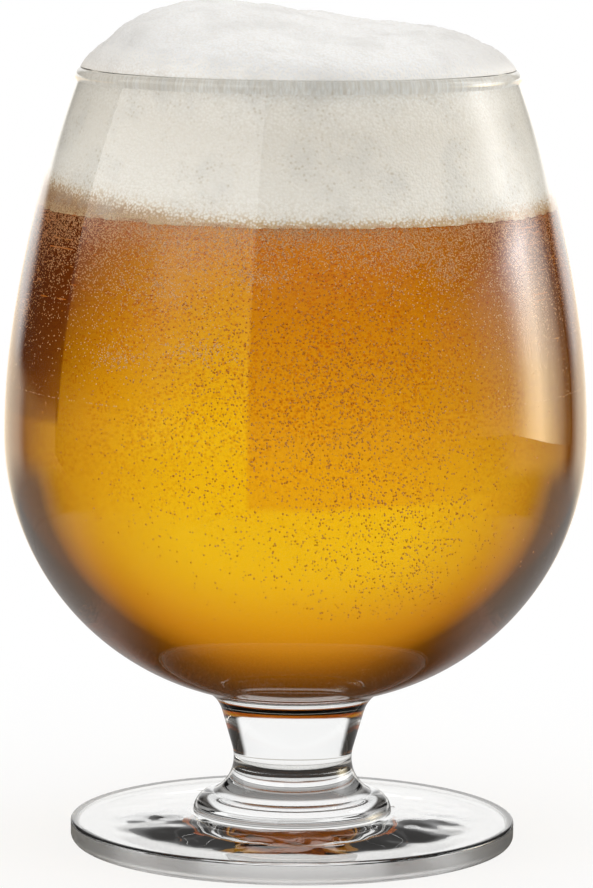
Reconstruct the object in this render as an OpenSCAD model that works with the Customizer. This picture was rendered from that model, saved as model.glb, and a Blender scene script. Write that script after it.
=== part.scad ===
// Chalice beer glass on a short stem, filled with beer under a head of foam.
// Bowl, stem, button and foot are four gathers of clear glass, fused where their flat seats meet.
// Every piece is a solid of revolution about Z. The table is at Z = 0, and lengths are in millimetres.

/* [Bowl] */
// Height of the bowl from its underside to the rim
bowl_h = 109.6; // [98:0.2:124]
// Outside diameter of the wall just under the rim bead
rim_d = 75.6; // [66:0.2:86]
// Outside diameter of the bowl at its belly
belly_d = 100.8; // [90:0.2:112]
// Radius of the outline below the belly, as a share of the belly's radius
cup_share = 0.92; // [0.85:0.01:0.97]
// Height that the curve above the belly takes up, as a share of the height from belly to rim
shoulder_share = 0.27; // [0.2:0.01:0.35]
// Part of the wall's lean that this curve turns through
lean_share = 0.67; // [0.5:0.01:0.8]
// Thickness of the bowl's wall
wall = 2; // [1.4:0.1:2.8]
// Thickness of the glass under the inside floor
base = 3.6; // [2.6:0.1:5]
// How far the rim bead stands proud of the wall outside
bead_outside = 0.6; // [0.2:0.1:0.8]
// How far the rim bead stands proud of the wall inside
bead_inside = 0.2; // [0.1:0.1:0.4]
// Radius of the hollow curve where the bowl runs into the stem
neck_fillet = 6; // [3:0.2:8]

/* [Stem] */
// Height of the stem, from the button to the bowl's underside
stem_h = 16.7; // [14:0.1:22]
// Diameter of the stem at its waist
waist_d = 20.6; // [16:0.2:24]
// Radius of the hollow curve round the waist
waist_curve = 7; // [5:0.2:8]
// Lean of the stem's side above the waist, from upright
taper_angle = 16; // [8:0.5:20]
// Angle that the waist curve turns out through below the waist
flare_angle = 60; // [45:1:70]

/* [Button and foot] */
// Height of the round button between the stem and the foot
button_h = 3.5; // [2.5:0.1:4.5]
// Diameter of the foot
foot_d = 77.4; // [70:0.2:84]
// Thickness of the foot at its edge
foot_edge = 4; // [3.4:0.1:5]
// Rise of the foot's top face from its edge to the button
foot_rise = 1.2; // [0.4:0.1:2]
// Radius of the foot's rounded corners
edge_round = 1.5; // [0.8:0.1:1.6]
// Width of the flat ring that the glass stands on
ring_w = 5; // [3:0.5:8]
// Depth of the dished underside
dish_depth = 0.8; // [0.3:0.1:1.5]

/* [Drink] */
// Depth of the foam inside the bowl, from the rim down to the beer
head_depth = 23; // [14:1:36]
// Height of the foam above the rim
foam_rise = 11; // [7:0.5:14]
// Radius of the foam's rounded shoulder
foam_shoulder = 21; // [18:1:28]
// Radius of the foam's broad top
foam_top_r = 165; // [130:1:220]
// How far the top of the foam lies to the left of the glass's axis
foam_lean = 14; // [4:1:20]
// Gap between the drink and the glass
film_gap = 0.1; // [0.05:0.05:0.3]

/* [Hidden] */
$fn = 180;

// Every cut runs this far past the shape that it trims
overrun = 1;
// Curves that meet smoothly run this far into each other, so that they cross cleanly
blend = 0.02;
// Step that worked-out radii are rounded to
grain = 0.01;

belly_r = belly_d / 2;
rim_r = rim_d / 2;
foot_r = foot_d / 2;
cup_r = grain * round(cup_share * belly_r / grain);

// Heights of the stack: foot, button, stem, bowl
foot_top = foot_edge + foot_rise;
stem_bottom = foot_top + button_h;
bowl_bottom = stem_bottom + stem_h;
belly_height = bowl_bottom + cup_r;
rim_height = bowl_bottom + bowl_h;

// Rim bead, a torus that caps the wall
bead_d = wall + bead_outside + bead_inside;
bead_center = [rim_r + bead_outside - bead_d / 2, rim_height - bead_d / 2];
rim_point = [rim_r, bead_center.y];

// Shoulder curve: it starts upright at the belly and ends at shoulder_end
wall_rise = rim_point.y - belly_height;
shoulder_angle = lean_share * atan((belly_r - rim_r) / wall_rise);
shoulder_r = grain * round(shoulder_share * wall_rise / sin(shoulder_angle) / grain);
shoulder_center = [belly_r - shoulder_r, belly_height];
shoulder_way = [cos(shoulder_angle), sin(shoulder_angle)];
shoulder_end = shoulder_center + shoulder_r * shoulder_way;

// Upper wall: the arc that leaves the shoulder curve smoothly and passes through the rim
rim_chord = shoulder_end - rim_point;
upper_r = grain * round(rim_chord * rim_chord / (2 * rim_chord * shoulder_way) / grain);
upper_center = shoulder_end - upper_r * shoulder_way;

// Curve below the belly, outside and inside
cup_center = [belly_r - cup_r, belly_height];
cavity_r = cup_r - base;

// Waist of the stem, and the button under it
waist_center = [waist_d / 2 + waist_curve, stem_bottom + waist_curve * sin(flare_angle)];
stem_bottom_r = waist_center.x - waist_curve * cos(flare_angle);
button_r = stem_bottom_r + button_h;

// Straight side of the stem, from taper_foot up to the seat under the bowl
taper_way = [sin(taper_angle), cos(taper_angle)];
taper_out = [cos(taper_angle), -sin(taper_angle)];
taper_foot = waist_center - (waist_curve - blend) * taper_out;

// Neck fillet: the circle that touches the stem's side and the bowl's underside
fillet_reach = cup_r + neck_fillet - blend;
fillet_start = taper_foot + neck_fillet * taper_out - cup_center;
fillet_along = fillet_start * taper_way;
taper_length = -fillet_along - sqrt(fillet_along^2 - fillet_start * fillet_start + fillet_reach^2);
seat = taper_foot + taper_length * taper_way;
fillet_center = seat + neck_fillet * taper_out;
neck_top = cup_center.y + (fillet_center.y - cup_center.y) * cup_r / fillet_reach;

// Dished underside of the foot, a shallow cap of a large sphere
dish_edge = foot_r - edge_round - ring_w;
dish_r = (dish_edge^2 + dish_depth^2) / (2 * dish_depth);

// Drink
beer_level = rim_height - head_depth;
mouth_r = rim_r - wall - bead_inside - 2 * film_gap;
crown_low = rim_height + film_gap;
crown_high = rim_height + foam_rise + overrun;
crown_drop = crown_low - crown_high + foam_shoulder;
crown_center = [bead_center.x - sqrt(foam_shoulder^2 - crown_drop^2), crown_high - foam_shoulder];

// Rectangle between two radii and two heights
module block(inner, outer, low, high) {
    polygon([[inner, low], [outer, low], [outer, high], [inner, high]]);
}

// Disc placed by whole steps first and then by the rest, so that no fraction is lost on the way.
// A disc larger than the bowl gets more sides, because only a short arc of it is used.
module round_at(center, r) {
    steps = [for (c = center) round(c)];
    translate(steps) translate(center - steps) circle(r, $fn = $fn * ceil(r / belly_r));
}

// Bowl's outline moved inwards by inset, filled in to the axis, from height low up to height high.
// under_r is the radius of its curve below the belly.
module bowl_region(inset, under_r, low, high) {
    under_center = [belly_r - inset - under_r, belly_height];
    join_height = belly_height + (shoulder_r - inset) * sin(shoulder_angle);
    reach = belly_r + overrun;
    intersection() {
        round_at(under_center, under_r);
        block(under_center.x, reach, low, belly_height);
    }
    block(0, under_center.x, max(low, belly_height - under_r), belly_height);
    intersection() {
        round_at(shoulder_center, shoulder_r - inset);
        block(0, reach, belly_height, join_height);
    }
    intersection() {
        round_at(upper_center, upper_r - inset);
        block(0, reach, join_height, high);
    }
}

// Inside of the bowl, with its floor, drawn in by gap
module cavity(gap, high) {
    under_r = cavity_r - gap;
    bowl_region(wall + gap, under_r, belly_height - under_r - overrun, high);
}

module bowl() {
    color("lightcyan", 0.35)
    rotate_extrude() {
        difference() {
            union() {
                bowl_region(0, cup_r, seat.y, bead_center.y);
                difference() {
                    block(0, fillet_center.x, seat.y, neck_top);
                    round_at(fillet_center, neck_fillet);
                }
            }
            cavity(0, bead_center.y + overrun);
        }
        round_at(bead_center, bead_d / 2);
    }
}

module stem() {
    side_start = taper_foot - overrun * taper_way;
    color("azure", 0.4)
    rotate_extrude() {
        polygon([[0, side_start.y], side_start, seat, [0, seat.y]]);
        difference() {
            block(0, waist_center.x, stem_bottom, taper_foot.y);
            round_at(waist_center, waist_curve);
        }
    }
}

module button() {
    color("aliceblue", 0.4)
    rotate_extrude() {
        block(0, stem_bottom_r, foot_top, stem_bottom);
        intersection() {
            round_at([stem_bottom_r, foot_top], button_h);
            block(stem_bottom_r, button_r + overrun, foot_top, stem_bottom + overrun);
        }
    }
}

// Quarter of a round corner at the foot's edge, above or below its centre's height
module edge_corner(height, up) {
    corner_r = foot_r - edge_round;
    side = edge_round + overrun;
    intersection() {
        round_at([corner_r, height], edge_round);
        block(corner_r, corner_r + side, up ? height : height - side, up ? height + side : height);
    }
}

module foot() {
    corner_r = foot_r - edge_round;
    color("lightcyan", 0.4)
    rotate_extrude()
    difference() {
        union() {
            polygon([[0, 0], [corner_r, 0], [corner_r, foot_edge], [button_r, foot_top], [0, foot_top]]);
            block(corner_r, foot_r, edge_round, foot_edge - edge_round);
            edge_corner(edge_round, false);
            edge_corner(foot_edge - edge_round, true);
        }
        intersection() {
            round_at([0, dish_depth - dish_r], dish_r);
            block(0, dish_edge + overrun, -overrun, dish_depth + overrun);
        }
    }
}

module beer() {
    color([0.86, 0.56, 0.08], 0.85)
    rotate_extrude()
    intersection() {
        cavity(film_gap, beer_level + overrun);
        block(0, belly_r, 0, beer_level);
    }
}

// Foam fills the mouth of the bowl, swells over the rim and slopes down to the right
module foam_head() {
    color([0.96, 0.94, 0.9])
    intersection() {
        rotate_extrude() {
            difference() {
                intersection() {
                    cavity(film_gap, bead_center.y);
                    block(0, belly_r, beer_level, bead_center.y + overrun);
                }
                round_at(bead_center, bead_d / 2 + film_gap);
            }
            block(0, mouth_r, bead_center.y, crown_low);
            block(0, crown_center.x, crown_low, crown_high);
            intersection() {
                round_at(crown_center, foam_shoulder);
                block(crown_center.x, rim_r + overrun, crown_low, crown_high + overrun);
            }
        }
        translate([-foam_lean, 0, rim_height + foam_rise - foam_top_r]) sphere(foam_top_r);
    }
}

bowl();
stem();
button();
foot();
beer();
foam_head();
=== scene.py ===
import math
import random

import bpy
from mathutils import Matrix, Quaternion, Vector


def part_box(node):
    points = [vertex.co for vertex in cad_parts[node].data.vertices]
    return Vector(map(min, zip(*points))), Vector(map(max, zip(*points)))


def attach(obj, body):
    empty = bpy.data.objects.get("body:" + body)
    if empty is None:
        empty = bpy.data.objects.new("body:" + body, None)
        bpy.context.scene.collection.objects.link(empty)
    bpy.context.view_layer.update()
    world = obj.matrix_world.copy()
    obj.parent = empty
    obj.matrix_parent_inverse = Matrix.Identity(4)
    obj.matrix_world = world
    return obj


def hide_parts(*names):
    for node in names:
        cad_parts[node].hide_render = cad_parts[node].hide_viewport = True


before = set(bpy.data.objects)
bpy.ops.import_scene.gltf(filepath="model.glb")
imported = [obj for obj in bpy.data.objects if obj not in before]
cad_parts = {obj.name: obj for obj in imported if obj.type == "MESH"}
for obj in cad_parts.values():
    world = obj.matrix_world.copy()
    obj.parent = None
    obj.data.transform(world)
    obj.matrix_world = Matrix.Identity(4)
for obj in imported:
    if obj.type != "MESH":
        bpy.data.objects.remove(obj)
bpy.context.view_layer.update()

bl_info = {
    "name": "Chalice beer glass",
    "version": (1, 0, 0),
    "blender": (4, 5, 0),
    "location": "3D View > Sidebar > Chalice",
    "description": "Builds a stemmed beer glass with its drink, and the studio that it stands in",
    "category": "Add Mesh",
}

MM = 0.001
BODY = "root"
GLASS_IOR = 1.52
BEER_IOR = 1.34
WHITE = (1.0, 1.0, 1.0)
# A ray that has bent more often than this has gone through the beer
BEER_BENDS = 4.5
# Points of an outline that are closer than this are one point
MERGED = 0.002 * MM
# A face or a point this close to a height lies on it, and a face with this much of its normal upright is level
ON_SEAM = 0.005 * MM
LEVEL = 0.999
CLOSE = 0.01 * MM
# Slots of the materials on a piece of glass, after the dry glass in slot 0
SEAM_SLOT = 1
OTHER_SLOT = 2

BOWL_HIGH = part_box("bowl")[1]
STEM_LOW, STEM_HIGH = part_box("stem")
BUTTON_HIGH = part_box("button")[1]
FOOT_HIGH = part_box("foot")[1]
BEER_LOW, BEER_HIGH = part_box("beer")
FOAM_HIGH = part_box("foam_head")[1]


def length(name, description, default):
    """A size in metres."""
    return bpy.props.FloatProperty(
        name=name, description=description, default=default, min=0.0,
        precision=5, unit="LENGTH", subtype="DISTANCE")


def share(name, description, default, high=1.0):
    """A plain factor."""
    return bpy.props.FloatProperty(name=name, description=description, default=default, min=0.0, max=high)


def turn(name, description, degrees):
    """An angle."""
    return bpy.props.FloatProperty(
        name=name, description=description, default=math.radians(degrees), unit="ROTATION", subtype="ANGLE")


def tint(name, description, default):
    """A linear colour."""
    return bpy.props.FloatVectorProperty(
        name=name, description=description, default=default, size=3, min=0.0, max=1.0, subtype="COLOR")


class CHALICE_PG_glass(bpy.types.PropertyGroup):
    """Sizes of the four pieces of glass."""
    rim_height: length("Rim height", "Height of the rim above the table", BOWL_HIGH.z)
    rim_r: length("Rim radius", "Outside radius of the wall under the rim bead", 37.8 * MM)
    belly_r: length("Belly radius", "Outside radius of the bowl at its belly", BOWL_HIGH.x)
    cup_r: length("Cup radius", "Radius of the outline below the belly", 46.37 * MM)
    floor_height: length("Inside floor", "Height of the bowl's inside floor", BEER_LOW.z - 0.1 * MM)
    wall: length("Wall", "Thickness of the bowl's wall", 2.0 * MM)
    base: length("Base", "Thickness of the glass under the inside floor", 3.6 * MM)
    bead_outside: length("Bead outside", "How far the rim bead stands proud outside", 0.6 * MM)
    bead_inside: length("Bead inside", "How far the rim bead stands proud inside", 0.2 * MM)
    shoulder_share: share("Shoulder", "Share of the wall's height taken by the curve above the belly", 0.27)
    lean_share: share("Lean", "Share of the wall's lean that this curve turns through", 0.67)
    neck_fillet: length("Neck fillet", "Radius of the hollow curve between bowl and stem", 6.0 * MM)
    seat_height: length("Seat", "Height of the seat between stem and bowl", STEM_HIGH.z)
    stem_bottom: length("Stem bottom", "Height of the seat between button and stem", STEM_LOW.z)
    waist_r: length("Waist radius", "Radius of the stem at its waist", 10.3 * MM)
    waist_curve: length("Waist curve", "Radius of the hollow curve round the waist", 7.0 * MM)
    taper: turn("Taper", "Lean of the stem's side above the waist", 16.0)
    flare: turn("Flare", "Angle that the waist curve turns out through below the waist", 60.0)
    button_r: length("Button radius", "Radius of the round button", BUTTON_HIGH.x)
    foot_top: length("Foot top", "Height of the seat between foot and button", FOOT_HIGH.z)
    foot_r: length("Foot radius", "Radius of the foot", FOOT_HIGH.x)
    foot_edge: length("Foot edge", "Thickness of the foot at its edge", 4.0 * MM)
    edge_round: length("Edge round", "Radius of the foot's lower corner", 1.5 * MM)
    edge_top: length("Edge top", "Radius of the foot's upper corner", 0.5 * MM)
    ring: length("Standing ring", "Width of the ring that the glass stands on", 5.0 * MM)
    dish: length("Dish", "Depth of the dished underside", 0.25 * MM)
    mound_r: length("Mound radius", "Radius where the foot's top starts to rise to the button", 33.0 * MM)
    swirl: length("Swirl", "Unevenness of the hand-worked rise round the button", 0.35 * MM)
    turns: bpy.props.IntProperty(name="Turns", description="Steps of the lathe round the axis", default=192, min=24)


class CHALICE_PG_drink(bpy.types.PropertyGroup):
    """Sizes of the beer, its bubbles and the foam."""
    level: length("Level", "Height of the beer under the foam", BEER_HIGH.z)
    film: length("Film", "Gap between the drink and the glass", 0.1 * MM)
    crown_rise: length("Crown", "Height of the foam above the rim", FOAM_HIGH.z - BOWL_HIGH.z)
    crown_lap: length("Lap", "How far the crown laps over the middle of the rim", 0.4 * MM)
    froth_dip: length("Froth dip", "How far the foam hangs into the beer", 1.0 * MM)
    fizz: bpy.props.IntProperty(name="Fizz", description="Bubbles in the band under the foam", default=48000, min=0)
    rising: bpy.props.IntProperty(name="Rising", description="Bubbles rising in the beer", default=7000, min=0)
    seed: bpy.props.IntProperty(name="Seed", description="Seed of the bubbles' places", default=11, min=0)


class CHALICE_PG_finish(bpy.types.PropertyGroup):
    """Colours of the materials."""
    glass: tint("Glass", "Tint of the clear glass", (0.985, 0.99, 0.985))
    beer: tint("Beer", "Colour that the beer keeps of the light passing through it", (0.972, 0.842, 0.10))
    beer_density: share("Beer depth", "How strongly the beer takes up light, per metre", 62.0, 1000.0)
    # Painted shade: the beer's tint just under the foam, which browns its top
    beer_top: tint("Beer top", "Tint of the beer just under the foam", (0.88, 0.62, 0.48))
    speckle: tint("Speckle", "Tint of the finest bubbles on the inside of the glass", (0.78, 0.47, 0.30))
    foam: tint("Foam", "Colour of the foam", (0.84, 0.785, 0.71))
    foam_crown: tint("Foam crown", "Colour of the dry top of the foam", (0.82, 0.82, 0.815))
    foam_cells: tint("Foam cells", "Colour in the hollows of the larger cells", (0.62, 0.52, 0.38))
    # This colour is also the painted shade on the sides of the crown
    foam_shade: tint("Foam shade", "Colour of the duller patches in the foam", (0.58, 0.56, 0.53))
    foam_wet: tint("Wet foam", "Colour between the cells where the foam breaks up into the beer", (0.60, 0.41, 0.20))
    fizz: tint("Fizz", "Colour of the pale bubbles under the foam", (0.78, 0.60, 0.40))
    rising: tint("Rising", "Colour of the rising bubbles seen against the light", (0.50, 0.17, 0.008))


class CHALICE_PG_stage(bpy.types.PropertyGroup):
    """Camera and light."""
    camera_far: length("Camera distance", "Distance of the camera from the glass's axis", 881.5 * MM)
    camera_height: length("Camera height", "Height of the camera above the table", 187.4 * MM)
    aim_height: length("Aim", "Height that the camera looks at", 69.8 * MM)
    aim_side: length("Aim side", "How far to the right the camera looks", 0.2 * MM)
    roll: turn("Roll", "Roll of the camera", 0.5)
    lens: bpy.props.FloatProperty(
        name="Lens", description="Focal length of the camera", default=208.0, min=1.0, unit="CAMERA")
    table_r: length("Table", "Radius of the pale table", 0.28)


def sizes():
    """The scene's property groups: glass, drink, finish and stage."""
    scene = bpy.context.scene
    return scene.chalice_glass, scene.chalice_drink, scene.chalice_finish, scene.chalice_stage


def arc(center, radius, start, end, step):
    """Points (radius, height) on a circle from one angle to another, at most a step apart."""
    count = max(2, math.ceil(abs(end - start) * radius / step))
    return [
        (center[0] + radius * math.cos(a), center[1] + radius * math.sin(a))
        for a in (start + (end - start) * i / count for i in range(count + 1))]


def flat(radius, height, count):
    """Points at one height from the axis out to a radius, without the last one."""
    return [(radius * i / count, height) for i in range(count)]


def crossing(a, ra, b, rb, side):
    """Point where two circles cross, on the given side of the line between their centres."""
    dx, dy = b[0] - a[0], b[1] - a[1]
    gap = math.hypot(dx, dy)
    along = (gap * gap + ra * ra - rb * rb) / (2 * gap)
    across = side * math.sqrt(max(0.0, ra * ra - along * along))
    return (a[0] + (along * dx - across * dy) / gap, a[1] + (along * dy + across * dx) / gap)


def heading(a, b):
    """Angle of the line from one point to another."""
    return math.atan2(b[1] - a[1], b[0] - a[0])


class BowlLines:
    """Centres and radii of the arcs that the bowl's outline is made of."""

    def __init__(self, g):
        self.g = g
        self.belly_height = g.floor_height + g.cup_r - g.base
        bead_d = g.wall + g.bead_outside + g.bead_inside
        self.bead_r = bead_d / 2
        self.bead = (g.rim_r + g.bead_outside - self.bead_r, g.rim_height - self.bead_r)
        rise = self.bead[1] - self.belly_height
        self.turned = g.lean_share * math.atan((g.belly_r - g.rim_r) / rise)
        self.shoulder_r = g.shoulder_share * rise / math.sin(self.turned)
        self.shoulder = (g.belly_r - self.shoulder_r, self.belly_height)
        way = (math.cos(self.turned), math.sin(self.turned))
        end = (self.shoulder[0] + self.shoulder_r * way[0], self.shoulder[1] + self.shoulder_r * way[1])
        chord = (end[0] - g.rim_r, end[1] - self.bead[1])
        self.upper_r = (chord[0] ** 2 + chord[1] ** 2) / (2 * (chord[0] * way[0] + chord[1] * way[1]))
        self.upper = (end[0] - self.upper_r * way[0], end[1] - self.upper_r * way[1])
        self.cup = (g.belly_r - g.cup_r, self.belly_height)
        self.cavity_r = g.cup_r - g.base

    def wall_top(self, inset, height):
        """Angle on the upper arc, moved inwards by inset, at a height."""
        return math.asin((height - self.upper[1]) / (self.upper_r - inset))

    def radius(self, inset, height):
        """Radius of the inside of the bowl at a height. inset is counted from the outside."""
        if height >= self.belly_height + (self.shoulder_r - inset) * math.sin(self.turned):
            center, r = self.upper, self.upper_r - inset
        elif height >= self.belly_height:
            center, r = self.shoulder, self.shoulder_r - inset
        else:
            r = self.cavity_r - (inset - self.g.wall)
            center = (self.g.belly_r - inset - r, self.belly_height)
        drop = height - center[1]
        return center[0] + math.sqrt(max(0.0, r * r - drop * drop))

    def inside(self, inset, high, step):
        """Outline of the cavity from the middle of its floor up to a height, moved inwards by inset."""
        under_r = self.cavity_r - (inset - self.g.wall)
        under = (self.g.belly_r - inset - under_r, self.belly_height)
        floor = self.belly_height - under_r
        points = flat(under[0], floor, 3)
        points += arc(under, under_r, -math.pi / 2, 0.0, step)
        points += arc(self.shoulder, self.shoulder_r - inset, 0.0, self.turned, step)[1:]
        points += arc(self.upper, self.upper_r - inset, self.turned, self.wall_top(inset, high), step)[1:]
        return points


def stem_lines(g):
    """Centre of the waist curve, the foot of the straight side above it, and the seat's radius under the bowl."""
    waist = (g.waist_r + g.waist_curve, g.stem_bottom + g.waist_curve * math.sin(g.flare))
    side = (waist[0] - g.waist_curve * math.cos(g.taper), waist[1] + g.waist_curve * math.sin(g.taper))
    seat_r = side[0] + (g.seat_height - side[1]) * math.tan(g.taper)
    return waist, side, seat_r


def deselect():
    """Leaves edit mode and selects nothing, before a new piece is added."""
    if bpy.context.object is not None and bpy.context.object.mode != "OBJECT":
        bpy.ops.object.mode_set(mode="OBJECT")
    bpy.ops.object.select_all(action="DESELECT")


def activate(piece):
    """Selects one piece alone, so that an operator acts on it."""
    deselect()
    piece.select_set(True)
    bpy.context.view_layer.objects.active = piece


def lathe(name, outline, turns):
    """Draws half of a round outline by extruding one corner from point to point, then spins it about Z."""
    deselect()
    bpy.ops.mesh.primitive_plane_add(size=2 * MM, location=(0.0, 0.0, 0.0))
    piece = bpy.context.object
    piece.name = piece.data.name = name
    bpy.ops.object.mode_set(mode="EDIT")
    bpy.ops.mesh.select_mode(type="VERT")
    bpy.ops.mesh.select_all(action="SELECT")
    bpy.ops.mesh.merge(type="CENTER")
    bpy.ops.transform.translate(value=(outline[0][0], 0.0, outline[0][1]))
    for (r0, z0), (r1, z1) in zip(outline, outline[1:]):
        bpy.ops.mesh.extrude_region_move(TRANSFORM_OT_translate={"value": (r1 - r0, 0.0, z1 - z0)})
    bpy.ops.mesh.select_all(action="SELECT")
    bpy.ops.mesh.spin(steps=turns, angle=math.tau, center=(0.0, 0.0, 0.0), axis=(0.0, 0.0, 1.0))
    bpy.ops.mesh.select_all(action="SELECT")
    bpy.ops.mesh.remove_doubles(threshold=MERGED)
    bpy.ops.mesh.normals_make_consistent(inside=False)
    bpy.ops.object.mode_set(mode="OBJECT")
    return piece


def face_outwards(piece):
    """Turns every face of a closed piece outwards."""
    activate(piece)
    bpy.ops.object.mode_set(mode="EDIT")
    bpy.ops.mesh.select_all(action="SELECT")
    bpy.ops.mesh.normals_make_consistent(inside=False)
    bpy.ops.object.mode_set(mode="OBJECT")


def smooth(piece, degrees=40.0):
    """Smooth shading, with edges sharper than an angle kept crisp."""
    activate(piece)
    bpy.ops.object.shade_smooth_by_angle(angle=math.radians(degrees))


def place(piece, node, slot):
    """Lets a piece ride on the glass's one body and stand for its CAD node, if it has one."""
    if not piece.data.polygons:
        raise RuntimeError(f"{piece.name} has no faces")
    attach(piece, BODY)
    if node:
        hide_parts(node)


def seam_faces(piece, heights):
    """Gives the flat seats, where two gathers of glass are fused, their own material slot."""
    for face in piece.data.polygons:
        if any(abs(face.center.z - h) < ON_SEAM for h in heights) and abs(face.normal.z) > LEVEL:
            face.material_index = SEAM_SLOT


class Wiring:
    """Adds nodes to one shader tree. A value is a number, a linear colour or the socket that it comes from."""

    def __init__(self, tree):
        self.tree = tree

    def feed(self, socket, value):
        """Links an input to where its value comes from, or sets it."""
        if isinstance(value, bpy.types.NodeSocket):
            self.tree.links.new(value, socket)
        elif isinstance(value, tuple):
            socket.default_value = (*value, 1.0)
        else:
            socket.default_value = value

    def add(self, kind, inputs=None, **properties):
        """A new node with its properties and some of its inputs set."""
        made = self.tree.nodes.new(f"ShaderNode{kind}")
        for key, value in properties.items():
            setattr(made, key, value)
        for key, value in (inputs or {}).items():
            self.feed(made.inputs[key], value)
        return made

    def math(self, operation, *values, **properties):
        """One step of arithmetic on one to three values."""
        return self.add("Math", dict(enumerate(values)), operation=operation, **properties).outputs[0]

    def times(self, a, b, **properties):
        """One value times another."""
        return self.math("MULTIPLY", a, b, **properties)

    def over(self, value, limit):
        """1 where a value is over a limit, and 0 elsewhere."""
        return self.math("GREATER_THAN", value, limit)

    def mapped(self, source, low, high, start=0.0, end=1.0, curve="LINEAR"):
        """Goes from start to end as a value goes from low to high."""
        ends = {"Value": source, "From Min": low, "From Max": high, "To Min": start, "To Max": end}
        return self.add("MapRange", ends, interpolation_type=curve).outputs["Result"]

    def mix(self, base, colour, mask, blend="MIX"):
        """Lays a colour over another one where a mask is 1."""
        return self.add("Mix", {0: mask, 6: base, 7: colour}, data_type="RGBA", blend_type=blend).outputs[2]

    def ramp(self, source, stops):
        """A colour ramp fed by a value. stops are (place, colour) pairs."""
        made = self.add("ValToRGB", {"Fac": source})
        line = made.color_ramp
        while len(line.elements) < len(stops):
            line.elements.new(0.5)
        for element, (at, colour) in zip(line.elements, stops):
            element.position = at
            element.color = (*colour, 1.0)
        return made.outputs["Color"]

    def place(self):
        """The place on the piece, in its own frame."""
        return self.add("TexCoord").outputs["Object"]

    def axes(self, place):
        """The three parts of a place or a direction."""
        return tuple(self.add("SeparateXYZ", {"Vector": place}).outputs)

    def noise(self, scale, **detail):
        """A cloud of a given scale. Detail may be given as well."""
        return self.add("TexNoise", {"Vector": self.place(), "Scale": scale, **detail}).outputs["Fac"]

    def cells(self, scale):
        """Distance from the middle of the nearest cell."""
        return self.add("TexVoronoi", {"Vector": self.place(), "Scale": scale}, feature="F1").outputs["Distance"]

    def emission(self, colour, strength=1.0):
        """A shader that glows."""
        return self.add("Emission", {"Color": colour, "Strength": strength}).outputs["Emission"]

    def choose(self, mask, first, second):
        """Goes from the first shader to the second one as a mask goes from 0 to 1."""
        return self.add("MixShader", {0: mask, 1: first, 2: second}).outputs["Shader"]


def grey(level):
    """A colour without hue."""
    return (level, level, level)


def new_material(name):
    """An empty material, its wiring and the inputs of its output node."""
    mat = bpy.data.materials.new(name)
    mat.use_nodes = True
    mat.node_tree.nodes.clear()
    wires = Wiring(mat.node_tree)
    return mat, wires, wires.add("OutputMaterial").inputs


def new_group(name, inputs, values, normal):
    """An empty node group, its wiring and its sockets. inputs are defaults by name, the rest are outputs' names."""
    group = bpy.data.node_groups.new(name, "ShaderNodeTree")
    for key, default in inputs.items():
        made = group.interface.new_socket(name=key, in_out="INPUT", socket_type="NodeSocketFloat")
        made.default_value = default
    for key in values:
        group.interface.new_socket(name=key, in_out="OUTPUT", socket_type="NodeSocketFloat")
    group.interface.new_socket(name=normal, in_out="OUTPUT", socket_type="NodeSocketVector")
    given, out = group.nodes.new("NodeGroupInput").outputs, group.nodes.new("NodeGroupOutput").inputs
    return group, Wiring(group), given, out


def shared(make):
    """Lets a function that makes the material of its own name make it once, and find it after that."""

    def found():
        return bpy.data.materials.get(make.__name__) or make()

    return found


def ripple_group():
    """Shared unevenness of blown glass: a faint bump and a trace of smear in the gloss."""
    name = "glass_ripple"
    if name in bpy.data.node_groups:
        return bpy.data.node_groups[name]
    group, wires, given, out = new_group(
        name, {"Scale": 60.0, "Depth": 0.02, "Smear": 0.01}, ["Roughness"], "Normal")
    waves = wires.noise(given["Scale"], Detail=1.0)
    bump = wires.add("Bump", {"Distance": MM, "Strength": given["Depth"], "Height": waves})
    wires.feed(out["Roughness"], wires.times(waves, given["Smear"]))
    wires.feed(out["Normal"], bump.outputs["Normal"])
    return group


def lamp_pass(wires, solid, passed):
    """Mixes a clear shader in for lamp and bounced light, so that what stands in the glass is lit."""
    path = wires.add("LightPath").outputs
    clear = wires.add("BsdfTransparent", {"Color": passed}).outputs["BSDF"]
    shader = solid.outputs["BSDF"]
    for kind in ("Is Diffuse Ray", "Is Shadow Ray"):
        shader = wires.choose(path[kind], shader, clear)
    return shader


def blown_glass(name, ior, matt=0.0):
    """Clear soda-lime glass with the faint waves of hand work, made more matt by some roughness."""
    mat, wires, out = new_material(name)
    waves = {"Scale": 45.0, "Depth": 0.03, "Smear": 0.012}
    ripple = wires.add("Group", waves, node_tree=ripple_group()).outputs
    roughness = wires.math("ADD", ripple["Roughness"], matt) if matt else ripple["Roughness"]
    glass = wires.add("BsdfPrincipled", {
        "Base Color": tuple(sizes()[2].glass), "IOR": ior, "Transmission Weight": 1.0,
        "Roughness": roughness, "Normal": ripple["Normal"]})
    wires.feed(out["Surface"], lamp_pass(wires, glass, (0.96, 0.965, 0.96)))
    return mat


@shared
def dry_glass():
    """Glass that meets air."""
    return blown_glass("dry_glass", GLASS_IOR)


@shared
def wetted_glass():
    """Inside of the bowl where it meets beer or wet foam, at which light bends much less than at air."""
    return blown_glass("wetted_glass", GLASS_IOR / BEER_IOR)


@shared
def ground_edge():
    """Edge of the foot, ground and only half polished again, so that it scatters the light."""
    return blown_glass("ground_edge", GLASS_IOR, 0.33)


@shared
def fused_seam():
    """The flat seats inside the fused glass, which can't be seen."""
    mat, wires, out = new_material("fused_seam")
    wires.feed(out["Surface"], wires.add("BsdfPrincipled", {"Alpha": 0.0}).outputs["BSDF"])
    return mat


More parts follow.
